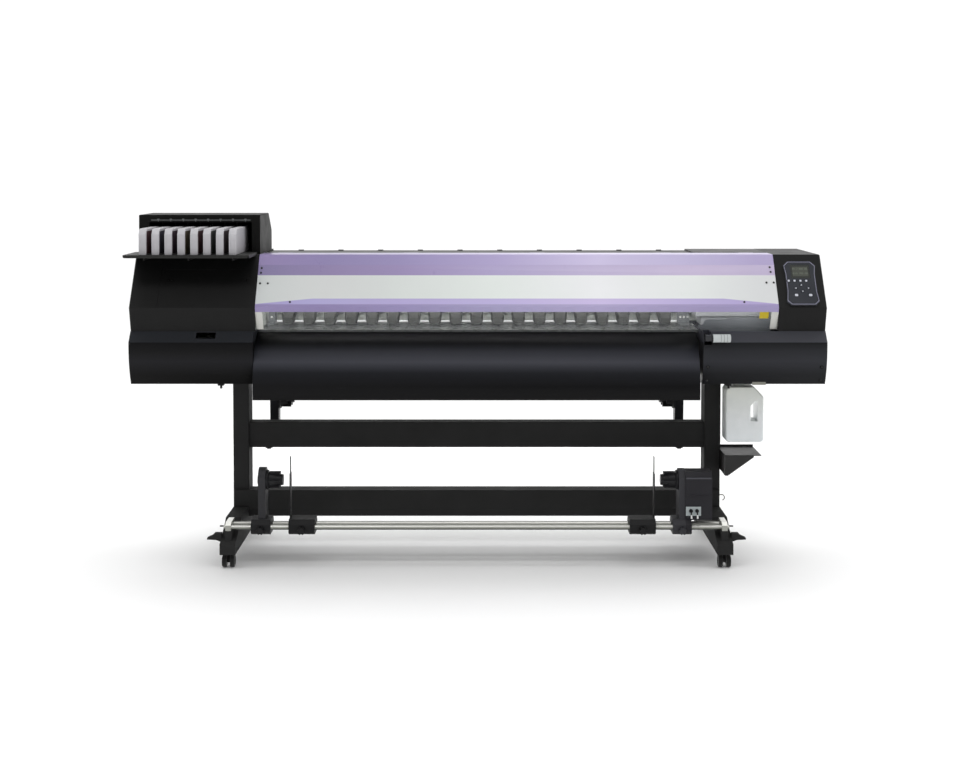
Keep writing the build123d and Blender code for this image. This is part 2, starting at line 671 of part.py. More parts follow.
def make_power_inlet():
    """Mains inlet in the back of the right lower cover, with three contact pins."""
    with BuildPart() as inlet:
        block((1146.2, 1203.8), (228, BACK), (836.2, 865.8))
        block((1142, 1208), (BACK, BACK + 2), (832, 870))
        block((1153, 1197), (234, BACK + 3), (841, 861), Mode.SUBTRACT)
        for x, z in ((1165, 848), (1175, 854), (1185, 848)):
            block((x - 1.2, x + 1.2), (233, 246), (z - 2.5, z + 2.5))
    save(inlet, "power_inlet")


# ---------------------------------------------------------------- take-up unit


def make_takeup_bars():
    """Two polished bars across the feet, held under an arch on each foot."""
    with BuildPart() as bars:
        for y in BAR_Y:
            rod("x", (0, y, BAR_Z), BAR_RADIUS, 2 * BAR_HALF)
        for side in (-1, 1):
            arch = [(-330, SADDLE_SPLIT), (-330, 168), (-318, 180), (-242, 180), (-230, 168),
                    (-230, foot_top(-230) + 0.3),
                    (-240, SADDLE_SPLIT)]
            prism(arch, span(side, LEG_X - 11, LEG_X + 11))
            rod("x", (side * 1014, -262, 150), 3, 26)
            block(span(side, LEG_X + 10, 1004), (-266, -258), (SADDLE_SPLIT, 154))
    save(bars, "takeup_bars")


def clamp_base(x):
    """Clamp block riding on both bars, with a star knob in front."""
    with BuildPart() as base:
        prism([(-333, 140), (-333, 172), (-318, 190), (-242, 190), (-227, 172), (-227, 140), (-242, 131),
               (-318, 131)], x)
        knob_x = (x[0] + x[1]) / 2
        rod("y", (knob_x, -341, 150), 12, 16)
        with Locations(*[(knob_x + 12 * math.cos(a), -341, 150 + 12 * math.sin(a))
                         for a in (math.radians(60 * k) for k in range(6))]):
            with Locations(Location((0, 0, 0), ROTATION["y"])):
                Cylinder(4, 14)
        for y in BAR_Y:
            rod("x", (0, y, BAR_Z), BAR_RADIUS + BAR_SLACK, 2400, Mode.SUBTRACT)
    return base.part


def make_cone(name, x, direction, axis, flange, tip, length):
    """Core cone on a spindle, with a flange, six ribs and a stepped nose."""
    centre = (x, *axis)
    profile = [(0, 0), (0, flange), (8, flange), (12, flange - 8), (length * 0.55, flange - 12),
               (length * 0.6, tip + 2), (length, tip - 2), (length, 0)]
    side_plane = Plane(origin=centre, x_dir=(direction, 0, 0), z_dir=(0, 0, direction))
    with BuildPart() as cone:
        with BuildSketch(side_plane):
            with BuildLine():
                Polyline(*profile, close=True)
            make_face()
        revolve(axis=Axis(centre, (1, 0, 0)))
        with BuildSketch(Plane(origin=centre, x_dir=(0, 1, 0), z_dir=(direction, 0, 0))):
            with PolarLocations((tip + flange) / 2 - 4, 6):
                Rectangle(flange - tip, 5)
        extrude(amount=length * 0.82)
        rod("x", (x - direction * 11, *axis), SPINDLE_RADIUS, 24)
    save(cone, name)


def make_takeup_arm():
    """Idle end of the take-up: clamp block and upright with the cone's bearing."""
    with BuildPart() as arm:
        add(clamp_base((-893, -816)))
        block((-867, -838), (-310, -230), (188, 350))
        rod("x", (-852.5, CONE_AXIS[0], 350), 40, 29)
        rod("x", (-869, CONE_AXIS[0], CONE_AXIS[1]), 20, 6)
        rod("x", (-850, *CONE_AXIS), SPINDLE_RADIUS + RUNNING, 25, Mode.SUBTRACT)
    save(arm, "takeup_arm")
    make_cone("takeup_arm_cone", -838 + GAP, 1, CONE_AXIS, 39, 23, 67)


def make_takeup_drive():
    """Driven end of the take-up: clamp block, gear column and motor housing with a switch plate."""
    housing = [(-318, 190), (-322, 200), (-322, 352), (-306, 377), (-232, 377), (-216, 360), (-216, 200),
               (-226, 185),
               (-306, 185)]
    with BuildPart() as drive:
        add(clamp_base((778, 852)))
        prism([(-316, 188), (-316, 350), (-290, 382), (-250, 382), (-224, 350), (-224, 188)], (803, 829))
        prism(housing, (828, 934))
        for z in (285, 355):
            block((830, 930), (-324, -318), (z - 3, z + 3))
        block((829, 889), (-325, -320), (206, 243))
        for x in SWITCH_X:
            rod("y", (x, -326, SWITCH_PIVOT[1]), 7.5, 4)
            for side in (-1, 1):
                block(tuple(x + v for v in span(side, 4.8, 6.5)), (-336, -326), (222.5, 229.5))
            rod("x", (x, *SWITCH_PIVOT), PIVOT_RADIUS + RUNNING, 16, Mode.SUBTRACT)
        rod("x", (814, *CONE_AXIS), SPINDLE_RADIUS + RUNNING, 28, Mode.SUBTRACT)
    save(drive, "takeup_drive")
    make_cone("takeup_drive_cone", 803 - GAP, -1, CONE_AXIS, 39, 23, 69)


def make_switch(name, x):
    """Toggle lever of the take-up drive, pointing down at rest."""
    pivot = (x, *SWITCH_PIVOT)
    tilt = math.radians(27)
    with BuildPart() as toggle:
        with Locations(pivot):
            Sphere(4.2)
        rod("x", pivot, PIVOT_RADIUS, 12)
        lever = Plane(origin=pivot, x_dir=(1, 0, 0), z_dir=(0, -math.sin(tilt), -math.cos(tilt)))
        with BuildSketch(lever):
            Circle(2.4)
        extrude(amount=29, taper=-2)
    save(toggle, name)


def make_media_guide(name, x, plate_x):
    """Clamp block with a thin upright fin that keeps the roll's edge in line."""
    with BuildPart() as guide:
        add(clamp_base(x))
        block((plate_x - 2, plate_x + 2), (-300, -258), (182, 368))
        block((plate_x - 1, plate_x + 1), (-292, -266), (366, 435))
    save(guide, name)


def make_roll_holder(name, side):
    """Holder on the rear rail with a bearing for the supply roll's cone."""
    x = span(side, 860, 897)
    half = RAIL_SIZE / 2 + GAP
    y = ROLL_AXIS[0]
    with BuildPart() as holder:
        block(x, (y - 30, y + 30), (RAIL_MID_Z - 32, RAIL_MID_Z + 40))
        prism([(y - 24, RAIL_MID_Z + 38), (y + 24, RAIL_MID_Z + 38), (y + 34, ROLL_AXIS[1]),
               (y, ROLL_AXIS[1] + 34),
               (y - 34, ROLL_AXIS[1])], x)
        block(x, (y - half, y + half), (RAIL_MID_Z - half, RAIL_MID_Z + half), Mode.SUBTRACT)
        rod("x", (side * 868, *ROLL_AXIS), SPINDLE_RADIUS + RUNNING, 34, Mode.SUBTRACT)
        rod("y", (side * 878.5, y - 37, RAIL_MID_Z + 10), 13, 14)
    save(holder, f"{name}_roll_holder")
    make_cone(f"{name}_roll_cone", side * (860 - GAP), -side, ROLL_AXIS, 60, 36, 66)


# ---------------------------------------------------------------- waste tank

TANK_X = (1022.0, 1176.0)
TANK_Y = (-108.0, -6.0)
TANK_Z = (459.0, 687.0)
NECK = (1084.0, -57.0)


def make_waste_tank():
    """Blow-moulded can with a through handle, a neck groove and a cap."""
    body = [(TANK_X[0], TANK_Z[0]), (TANK_X[0], TANK_Z[1] - 14), (TANK_X[0] + 14, TANK_Z[1]),
            (TANK_X[1] - 40, TANK_Z[1]), (TANK_X[1], TANK_Z[1] - 42), (TANK_X[1], TANK_Z[0])]
    handle = [(1122, 544), (1122, 608), (1142, 629), (1152, 629), (1152, 544)]
    with BuildPart() as tank:
        front_plate(body, TANK_Y)
        fillet(tank.edges().filter_by(Axis.Y), 12)
        fillet(tank.edges().filter_by(Plane.XZ), 7)
        front_plate(handle, (TANK_Y[0] - 1, TANK_Y[1] + 1), Mode.SUBTRACT)
        rod("z", (*NECK, 696), 22, 22)
        rod("z", (*NECK, 700), 17, 24)
        rod("z", (*NECK, 714), 24, 8)
    save(tank, "waste_tank")


def make_tank_bracket():
    """Plate on the right leg with a forked hanger for the tank's neck and a drip tray under it."""
    leg_face = LEG_X + LEG_WIDTH / 2
    side = (leg_face, leg_face + WALL)
    gusset = [(leg_face, 324), (leg_face + 12, 324), (1134, 400), (1134, 407), (leg_face, 407)]
    with BuildPart() as bracket:
        block(side, (12, 88), (324, 715))
        block(side, (-128, 60), (324, 409))
        block((leg_face, 1164), (-130, 60), (406, 409))
        block((leg_face, 1164), (57, 60), (406, 418))
        front_plate(gusset, (-128, -125))
        front_plate(gusset, (50, 53))
        block((leg_face, 1128), (-84, 70), (707.5, 709.5))
        block((NECK[0] - 19, NECK[0] + 19), (-90, NECK[1] + 2), (706, 711), Mode.SUBTRACT)
        rod("z", (NECK[0], NECK[1] + 2, 708.5), 19, 8, Mode.SUBTRACT)
    save(bracket, "tank_bracket")


def main():
    """Write every piece."""
    os.makedirs("parts", exist_ok=True)
    make_stand("left_stand", -1)
    make_stand("right_stand", 1)
    make_upper_beam()
    make_lower_beam()
    make_rear_rail()
    make_caster("front_left", -1, -1)
    make_caster("front_right", 1, -1)
    make_caster("rear_left", -1, 1)
    make_caster("rear_right", 1, 1)
    make_chassis()
    make_carriage_drive()
    make_platen()
    make_after_heater()
    make_rear_guide()
    make_feed_roller()
    make_pinch_arms()
    make_pinch_rollers()
    make_carriage()
    make_capping_unit()
    make_station_cover("left_station_cover", LEFT_OUTER, LEFT_INNER)
    make_station_cover("right_station_cover", HALF_WIDTH, RIGHT_INNER)
    make_lower_cover("left_lower_cover", LEFT_OUTER, LOWER_LEFT_INNER)
    make_lower_cover("right_lower_cover", HALF_WIDTH, LOWER_RIGHT_INNER)
    make_top_cover()
    make_front_lid()
    make_lid_window()
    make_cover_screws()
    make_ink_box()
    make_ink_shelf()
    for index in range(CARTRIDGES):
        make_cartridge(index)
    make_control_panel()
    make_clamp_lever()
    make_power_inlet()
    make_takeup_bars()
    make_takeup_arm()
    make_takeup_drive()
    make_switch("feed_switch", SWITCH_X[0])
    make_switch("direction_switch", SWITCH_X[1])
    make_media_guide("left_media_guide", (-744, -641), -741)
    make_media_guide("right_media_guide", (607, 710), 707)
    make_roll_holder("left", -1)
    make_roll_holder("right", 1)
    make_waste_tank()
    make_tank_bracket()


main()
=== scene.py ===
import math

import bmesh
import bpy
from mathutils import Matrix, Vector


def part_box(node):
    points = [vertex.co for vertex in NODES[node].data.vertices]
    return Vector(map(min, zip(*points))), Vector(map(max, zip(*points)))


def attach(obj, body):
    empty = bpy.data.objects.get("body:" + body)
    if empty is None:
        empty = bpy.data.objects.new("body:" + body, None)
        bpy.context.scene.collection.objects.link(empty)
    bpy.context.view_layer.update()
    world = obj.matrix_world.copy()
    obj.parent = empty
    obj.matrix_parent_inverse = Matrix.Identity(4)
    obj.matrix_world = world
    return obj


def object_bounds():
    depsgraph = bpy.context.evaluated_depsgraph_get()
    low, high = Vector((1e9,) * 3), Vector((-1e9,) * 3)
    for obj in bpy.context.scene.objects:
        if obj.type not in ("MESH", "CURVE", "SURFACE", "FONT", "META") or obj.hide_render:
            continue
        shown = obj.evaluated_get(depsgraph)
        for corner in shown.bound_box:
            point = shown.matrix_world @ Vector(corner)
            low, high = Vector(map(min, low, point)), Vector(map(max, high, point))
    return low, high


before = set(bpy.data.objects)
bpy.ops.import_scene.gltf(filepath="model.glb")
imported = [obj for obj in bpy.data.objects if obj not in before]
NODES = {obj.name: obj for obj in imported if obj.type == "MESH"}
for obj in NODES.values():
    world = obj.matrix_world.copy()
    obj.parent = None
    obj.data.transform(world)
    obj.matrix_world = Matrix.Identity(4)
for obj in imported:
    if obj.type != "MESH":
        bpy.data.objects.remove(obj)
cad_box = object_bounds()

CARTRIDGES = sorted(n for n in NODES if n.startswith("ink_cartridge_"))
CASTERS = ("front_left", "front_right", "rear_left", "rear_right")
RANGE_SOCKETS = ("From Min", "From Max", "To Min", "To Max")
MM = 0.001


def colour(text):
    """Linear colour from six hexadecimal digits of a display colour."""
    parts = [int(text[i:i + 2], 16) / 255 for i in (0, 2, 4)]
    return tuple(c / 12.92 if c <= 0.04045 else ((c + 0.055) / 1.055) ** 2.4 for c in parts) + (1.0,)


def scaled(shade, factor, lift=0.0):
    """A colour made lighter or darker by a factor, with an even lift."""
    return tuple(min(c * factor + lift, 1.0) for c in shade[:3]) + (1.0,)


# ---------------------------------------------------------------- material building blocks


class Surface:
    """A node material whose colour, roughness and bump are built from object-space patterns."""

    def __init__(self, name, rough=0.5, metallic=0.0, coat=0.0, sheen=0.0, specular=0.5):
        self.material = bpy.data.materials.new(name)
        self.material.use_nodes = True
        self.tree = self.material.node_tree
        self.shader = self.tree.nodes["Principled BSDF"]
        self.shader.inputs["Metallic"].default_value = metallic
        self.shader.inputs["Roughness"].default_value = rough
        self.shader.inputs["Coat Weight"].default_value = coat
        self.shader.inputs["Coat Roughness"].default_value = 0.12
        self.shader.inputs["Sheen Weight"].default_value = sheen
        self.shader.inputs["Specular IOR Level"].default_value = specular
        coordinates = self.add("ShaderNodeTexCoord")
        self.place = coordinates.outputs["Object"]
        self.axes = self.add("ShaderNodeSeparateXYZ")
        self.link(self.place, self.axes.inputs[0])
        self.normal = None

    def add(self, kind, **settings):
        """New node, with settings as its attributes."""
        node = self.tree.nodes.new(kind)
        for key, value in settings.items():
            setattr(node, key, value)
        return node

    def link(self, output, socket):
        """Join an output to an input."""
        self.tree.links.new(output, socket)

    def stretched(self, scale):
        """Object coordinates multiplied by a scale per axis."""
        node = self.add("ShaderNodeMapping")
        node.inputs["Scale"].default_value = scale
        self.link(self.place, node.inputs["Vector"])
        return node.outputs[0]

    def noise(self, scale, detail=3.0, rough=0.55, at=None):
        """Cloudy pattern about the middle value 0.5, with scale as its grains per metre."""
        node = self.add("ShaderNodeTexNoise")
        node.inputs["Scale"].default_value = scale
        node.inputs["Detail"].default_value = detail
        node.inputs["Roughness"].default_value = rough
        self.link(at or self.place, node.inputs["Vector"])
        return node.outputs["Fac"]

    def remap(self, value, low, high, to_low=0.0, to_high=1.0):
        """A value carried from one range to another, and held at its ends."""
        node = self.add("ShaderNodeMapRange")
        node.clamp = True
        for socket, number in zip(RANGE_SOCKETS, (low, high, to_low, to_high)):
            node.inputs[socket].default_value = number
        self.link(value, node.inputs["Value"])
        return node.outputs[0]

    def maths(self, operation, a, b):
        """Two numbers or outputs put through an operation."""
        node = self.add("ShaderNodeMath", operation=operation)
        for socket, value in zip(node.inputs, (a, b)):
            if isinstance(value, (int, float)):
                socket.default_value = value
            else:
                self.link(value, socket)
        return node.outputs[0]

    def mix(self, factor, first, second):
        """Blend of two colours, each a colour or an output."""
        node = self.add("ShaderNodeMix", data_type="RGBA")
        self.link(factor, node.inputs["Factor"])
        for socket, value in ((node.inputs[6], first), (node.inputs[7], second)):
            if isinstance(value, tuple):
                socket.default_value = value
            else:
                self.link(value, socket)
        return node.outputs[2]

    def ramp(self, value, stops):
        """Colours along a value, as (place, colour) stops."""
        node = self.add("ShaderNodeValToRGB")
        band = node.color_ramp
        while len(band.elements) < len(stops):
            band.elements.new(0.5)
        for element, (place, shade) in zip(band.elements, stops):
            element.position = place
            element.color = shade
        self.link(value, node.inputs[0])
        return node.outputs[0]

    def inside(self, value, low, high):
        """1 where a value lies between two limits, with soft edges outside them."""
        soft = 0.0002
        above = self.remap(value, low - soft, low)
        below = self.remap(value, high, high + soft, 1.0, 0.0)
        return self.maths("MULTIPLY", above, below)

    def upward(self):
        """How far a face looks up, from -1 to 1."""
        geometry = self.add("ShaderNodeNewGeometry")
        facing = self.add("ShaderNodeSeparateXYZ")
        self.link(geometry.outputs["Normal"], facing.inputs[0])
        return facing.outputs["Z"]

    def fine_lines(self):
        """Fine lines along X, as on drawn or brushed metal, raised a little."""
        lines = self.noise(1.0, 3.0, 0.6, self.stretched((4.0, 700.0, 700.0)))
        self.bump(lines, 0.00004, 0.5)
        return lines

    def bump(self, height, distance, strength):
        """Add relief on top of what there is: height from 0 to 1, and its depth in metres."""
        node = self.add("ShaderNodeBump")
        node.inputs["Strength"].default_value = strength
        node.inputs["Distance"].default_value = distance
        self.link(height, node.inputs["Height"])
        if self.normal:
            self.link(self.normal, node.inputs["Normal"])
        self.normal = node.outputs[0]

    def paint(self, shade, rough_low, rough_high, smear_scale=14.0):
        """Finish the surface: colour, roughness that varies in smears, and the bumps made so far."""
        smear = self.noise(smear_scale, 4.0, 0.6)
        fine = self.noise(420.0, 2.0)
        both = self.maths("ADD", self.maths("MULTIPLY", smear, 0.7), self.maths("MULTIPLY", fine, 0.3))
        self.link(self.remap(both, 0.3, 0.7, rough_low, rough_high), self.shader.inputs["Roughness"])
        self.link(shade, self.shader.inputs["Base Color"])
        if self.normal:
            self.link(self.normal, self.shader.inputs["Normal"])
        return self.material


def shaded(surface, base, contrast=0.12, scale=5.0, dust=0.05):
    """A base colour with broad mottling, fine speckle and a little dust on what faces up."""
    dark, light = scaled(base, 1 - contrast), scaled(base, 1 + contrast)
    broad = surface.mix(surface.remap(surface.noise(scale, 5.0), 0.3, 0.7), dark, light)
    speckle = surface.remap(surface.noise(1300.0, 1.0), 0.60, 0.72, 0.0, 0.35)
    spotted = surface.mix(speckle, broad, light)
    if not dust:
        return spotted
    patchy = surface.remap(surface.noise(30.0, 6.0, 0.7), 0.42, 0.75, 0.0, dust)
    settled = surface.maths("MULTIPLY", surface.remap(surface.upward(), 0.6, 1.0), patchy)
    return surface.mix(settled, spotted, colour("b8b4aa"))


def moulding(name, base, rough=(0.42, 0.6), coat=0.0, dust=0.02, specular=0.25, masked=None):
    """Moulded plastic with a spark-eroded grain; masked adds a second colour where a test of place is 1."""
    s = Surface(name, coat=coat, specular=specular)
    s.bump(s.noise(700.0, 2.0, 0.7), 0.00006, 0.55)
    s.bump(s.noise(9.0, 2.0), 0.0006, 0.12)
    shade = shaded(s, base, dust=dust)
    if masked:
        test, second = masked
        shade = s.mix(test(s), shade, second)
    return s.paint(shade, *rough)


def powder_coat(name, base, rough=(0.36, 0.52), specular=0.25):
    """Sheet metal under a powder coat: fine orange peel and faint rubbed marks."""
    s = Surface(name, specular=specular)
    s.bump(s.noise(420.0, 2.0, 0.5), 0.00008, 0.5)
    s.bump(s.noise(22.0, 2.0), 0.0005, 0.1)
    rubbed = s.remap(s.noise(1.0, 6.0, 0.65, s.stretched((9.0, 60.0, 160.0))), 0.62, 0.78, 0.0, 0.12)
    shade = s.mix(rubbed, shaded(s, base, 0.1, dust=0.02), scaled(base, 2.2, 0.01))
    return s.paint(shade, *rough)


def brushed(name, base, metallic=1.0):
    """Metal with fine lines along X."""
    s = Surface(name, metallic=metallic)
    lines = s.remap(s.fine_lines(), 0.35, 0.65, 0.0, 0.35)
    shade = s.mix(lines, shaded(s, base, 0.1, dust=0.0), scaled(base, 0.7))
    return s.paint(shade, 0.22, 0.36, smear_scale=30.0)


def stops_of(*pairs):
    """Ramp stops from pairs of place and display colour."""
    return [(place, colour(shade)) for place, shade in pairs]


def coat_with_painted_light(name, node, stops, rough=(0.34, 0.46), specular=0.3):
    """Satin charcoal coat with painted light down a curved cover: a painted highlight and painted shade, as
    colour stops up its height.
    """
    s = Surface(name, specular=specular)
    low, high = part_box(node)
    # The stops paint the highlight and shade that the cover's curve would show under the lights.
    fall = s.ramp(s.remap(s.axes.outputs["Z"], low.z, high.z), stops)
    s.bump(s.noise(520.0, 2.0, 0.6), 0.00006, 0.5)
    s.bump(s.noise(14.0, 2.0), 0.0005, 0.1)
    speckle = s.remap(s.noise(1300.0, 1.0), 0.60, 0.72, 0.0, 0.2)
    rubbed = s.remap(s.noise(1.0, 6.0, 0.65, s.stretched((7.0, 60.0, 130.0))), 0.62, 0.78, 0.0, 0.10)
    shade = s.mix(rubbed, s.mix(speckle, fall, colour("2c2d30")), colour("45464a"))
    return s.paint(shade, *rough)


def rubber(name, base):
    """Rubber with a dull bloom and small pits."""
    s = Surface(name, sheen=0.25, specular=0.3)
    s.bump(s.noise(900.0, 3.0, 0.7), 0.00008, 0.6)
    return s.paint(shaded(s, base, 0.25, 40.0, dust=0.12), 0.6, 0.85)


def band_with_painted_reflection(surface, along, *shades):
    """Colour ramp from the shades at seven places along the lid: a painted reflection that lightens and
    darkens along its length.
    """
    places = (0.02, 0.135, 0.27, 0.464, 0.658, 0.85, 0.967)
    return surface.ramp(along, stops_of(*zip(places, shades)))


def lid_material():
    """White lid panel with a purple band above, a tapering purple band below and pale end strips; each band
    carries a painted reflection that changes along the lid, and the top flange and the slope get separate
    painted shades.
    """
    low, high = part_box("front_lid")
    s = Surface("lid_paint", coat=0.2)
    x, z = s.axes.outputs["X"], s.axes.outputs["Z"]
    along = s.remap(x, low.x, high.x)
    flange = band_with_painted_reflection(s, along, "8b7baa", "8579a7", "9084b2", "aa9ec8", "c9bfe0", "b8afd2", "aca0c8")
    slope = band_with_painted_reflection(s, along, "80759f", "8a7ba6", "9585b2", "aca0c8", "bfb3d4", "c4b6d4", "c2b6d3")
    white = band_with_painted_reflection(s, along, "ccd0cf", "d0d2d1", "d5dad7", "e2e8e4", "edeef0", "e4e8e6", "d8dadb")
    lower = band_with_painted_reflection(s, along, "a59ccc", "aba4d0", "b0a5d2", "bbb0dc", "cbbde4", "b8acd8", "b0a2d0")
    lip = band_with_painted_reflection(s, along, "8d80ae", "897cab", "9388b6", "a29bc2", "ada3cb", "9e93bd", "9b90bc")
    left_drop = s.remap(x, low.x, low.x + 0.225, 1.0, 0.0)
    right_drop = s.remap(x, high.x - 0.215, high.x)
    drop = s.maths("MULTIPLY", s.maths("ADD", left_drop, right_drop), 0.020)
    slope_foot, slope_top = high.z - 0.080, high.z - 0.040
    band_top, lip_top, strip_top = low.z + 0.125, low.z + 0.1037, low.z + 0.0727
    # The flange and the slope above the white panel are painted in separate shades for how the light falls on
    # each face.
    shade = s.mix(s.remap(z, slope_foot - 0.0004, slope_foot), white, slope)
    shade = s.mix(s.remap(z, slope_top - 0.001, slope_top), shade, flange)
    shade = s.mix(s.remap(s.maths("ADD", z, drop), band_top - 0.0006, band_top, 1.0, 0.0), shade, lower)
    shade = s.mix(s.remap(z, lip_top - 0.0007, lip_top, 1.0, 0.0), shade, lip)
    shade = s.mix(s.remap(z, strip_top - 0.0007, strip_top, 1.0, 0.0), shade, colour("d6d6d0"))
    speckle = s.remap(s.noise(900.0, 2.0), 0.58, 0.75, 0.0, 0.08)
    shade = s.mix(speckle, shade, colour("f4f4f4"))
    haze = s.remap(s.noise(3.5, 5.0), 0.35, 0.75, 0.0, 0.06)
    shade = s.mix(haze, shade, colour("8f8a98"))
    s.bump(s.noise(6.0, 2.0), 0.0006, 0.10)
    s.bump(s.noise(520.0, 2.0), 0.00004, 0.35)
    return s.paint(shade, 0.26, 0.4)


def window_material():
    """Smoked clear plate with faint cleaning marks."""
    s = Surface("smoked_clear", coat=0.3)
    s.shader.inputs["Alpha"].default_value = 0.10
    shade = s.mix(s.remap(s.noise(8.0, 4.0), 0.3, 0.7), colour("6f7278"), colour("84878c"))
    s.bump(s.noise(12.0, 2.0), 0.0003, 0.1)
    s.material.surface_render_method = "BLENDED"
    return s.paint(shade, 0.05, 0.16)


def drive_material():
    """Charcoal moulding of the take-up drive, with its pale switch plate and a lighter line across it."""
    s = Surface("drive_moulding", specular=0.25)
    low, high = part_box("takeup_drive")
    x, y, z = (s.axes.outputs[k] for k in "XYZ")
    plate_left, plate_foot, plate_front = high.x - 0.105, low.z + 0.0755, low.y + 0.024
    on_plate = s.maths("MULTIPLY", s.inside(x, plate_left, plate_left + 0.060),
                       s.inside(z, plate_foot, plate_foot + 0.036))
    on_plate = s.maths("MULTIPLY", on_plate, s.inside(y, plate_front - 0.0002, plate_front + 0.0002))
    s.bump(s.noise(700.0, 2.0, 0.7), 0.00006, 0.55)
    column = s.remap(x, low.x + 0.0495, low.x + 0.0505, 1.0, 0.0)
    body = s.mix(column, shaded(s, colour("1f1e23"), dust=0.02), colour("333337"))
    line_front = low.y + 0.025
    band = s.maths("MULTIPLY", s.inside(z, high.z - 0.031, high.z - 0.023),
                   s.inside(y, line_front - 0.0005, line_front + 0.0005))
    body = s.mix(band, body, colour("4a4a50"))
    shade = s.mix(on_plate, body, colour("a9b1b2"))
    return s.paint(shade, 0.4, 0.58)


def cloudy_plastic(name, node, stops, cloud, subsurface, depth, coat):
    """Start a see-through plastic: colour stops up a node's height, clouded by a second colour."""
    s = Surface(name, coat=coat)
    s.shader.inputs["Subsurface Weight"].default_value = subsurface
    s.shader.inputs["Subsurface Radius"].default_value = (depth, depth, depth)
    low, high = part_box(node)
    base = s.ramp(s.remap(s.axes.outputs["Z"], low.z, high.z), stops)
    scale, amount, shade = cloud
    return s, s.mix(s.remap(s.noise(scale, 4.0), 0.35, 0.7, 0.0, amount), base, colour(shade))


def tank_material():
    """Milky blow-moulded polyethylene, a little darker at its foot and shoulder."""
    stops = stops_of((0.0, "eaeff1"), (0.35, "f2f5f6"), (0.75, "eef1eb"), (1.0, "e4e7de"))
    s, shade = cloudy_plastic("milky_plastic", "waste_tank", stops, (20.0, 0.25, "d2d8d8"), 0.35, 0.02, 0.1)
    s.bump(s.noise(260.0, 3.0), 0.00012, 0.4)
    s.bump(s.noise(24.0, 2.0), 0.0015, 0.15)
    return s.paint(shade, 0.34, 0.5)


def cartridge_material(index):
    """Pale, slightly translucent cartridge case."""
    stops = stops_of((0.0, "a09fa2"), (0.25, "b4b2b6"), (0.8, "bebdc1"), (1.0, "c8c7ca"))
    s, shade = cloudy_plastic(f"cartridge_case_{index}", CARTRIDGES[index], stops, (30.0, 0.2, "a8a3aa"),
                              0.15, 0.01, 0.15)
    s.bump(s.noise(600.0, 2.0), 0.00005, 0.5)
    return s.paint(shade, 0.3, 0.45)


def display_material():
    """Dark display glass with pale olive rows of segments behind it."""
    s = Surface("display_glass", coat=0.8)
    low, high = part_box("lcd_screen")
    x, z = s.axes.outputs["X"], s.axes.outputs["Z"]
    rows = s.add("ShaderNodeTexWave", bands_direction="Z")
    rows.inputs["Scale"].default_value = 18.0
    s.link(s.place, rows.inputs["Vector"])
    cells = s.remap(s.noise(1.0, 0.0, 0.5, s.stretched((260.0, 1.0, 30.0))), 0.48, 0.5)
    window = s.maths("MULTIPLY", s.inside(x, low.x + 0.008, high.x - 0.008),
                     s.inside(z, low.z + 0.010, high.z - 0.008))
    lit = s.maths("MULTIPLY", s.maths("MULTIPLY", s.remap(rows.outputs["Fac"], 0.62, 0.7), cells), window)
    back = s.mix(window, colour("262925"), colour("44473f"))
    s.bump(s.noise(40.0, 2.0), 0.0001, 0.1)
    return s.paint(s.mix(lit, back, colour("575c52")), 0.08, 0.16)


def chassis_material():
    """Zinc-plated frame with broad spangle."""
    s = Surface("zinc_plate")
    cells = s.add("ShaderNodeTexVoronoi")
    cells.inputs["Scale"].default_value = 90.0
    s.link(s.place, cells.inputs["Vector"])
    spangle = s.mix(s.remap(cells.outputs["Distance"], 0.0, 0.8), colour("b4b9b1"), colour("c6c9c2"))
    s.bump(cells.outputs["Distance"], 0.00005, 0.4)
    return s.paint(spangle, 0.35, 0.5)


def bar_material():
    """Polished bars with a painted reflection, bright on top and darker on their undersides, and black end
    blocks.
    """
    s = Surface("polished_bar", metallic=0.55)
    lines = s.fine_lines()
    # Painted reflection: light on the faces that look up, dark on the undersides.
    shade = s.ramp(s.remap(s.upward(), -1.0, 1.0),
                   stops_of((0.15, "3c403c"), (0.40, "6a6d66"), (0.60, "c9c9c2"), (0.85, "f4f4ee")))
    shade = s.mix(s.remap(lines, 0.35, 0.65, 0.0, 0.25), shade, colour("8c8c86"))
    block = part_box("takeup_bars")[1].x - 0.024
    ends = s.remap(s.maths("ABSOLUTE", s.axes.outputs["X"], 0.0), block - 0.0005, block + 0.0005)
    return s.paint(s.mix(ends, shade, colour("161616")), 0.14, 0.26, smear_scale=30.0)


def lever_dark(s):
    """1 on the lever's hub and arm, and part way on the grooves round its grip."""
    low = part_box("clamp_lever")[0]
    x = s.axes.outputs["X"]
    test = s.remap(x, low.x + 0.0275, low.x + 0.0285, 1.0, 0.0)
    for offset in (0.059, 0.071, 0.083):
        groove = s.inside(x, low.x + offset - 0.0012, low.x + offset + 0.0012)
        test = s.maths("MAXIMUM", test, s.maths("MULTIPLY", groove, 0.45))
    return test


def arm_foot(s):
    """1 on the clamp at the foot of the take-up arm."""
    foot_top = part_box("takeup_arm")[0].z + 0.059
    return s.remap(s.axes.outputs["Z"], foot_top - 0.001, foot_top + 0.001, 1.0, 0.0)


def switch_socket(s):
    """1 on the dark upper part of a toggle switch."""
    tip_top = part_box("feed_switch")[1].z - 0.0172
    return s.remap(s.axes.outputs["Z"], tip_top - 0.0005, tip_top + 0.0005)


# ---------------------------------------------------------------- dressing the frame


def round_edges(obj, width, angle):
    """Fine bevel on the edges that turn by more than an angle in degrees."""
    edge = obj.modifiers.new("edge", "BEVEL")
    edge.width = width
    edge.segments = 2
    edge.limit_method = "ANGLE"
    edge.angle_limit = math.radians(angle)
    return edge


def dress(node, material, bevel=0.0):
    """Give a CAD node its material; where bevel is set, join its split corners and round its edges."""
    obj = NODES[node]
    obj.data.materials.clear()
    obj.data.materials.append(material)
    if bevel:
        weld = obj.modifiers.new("weld", "WELD")
        weld.merge_threshold = 0.00002
        round_edges(obj, bevel, 35).harden_normals = True


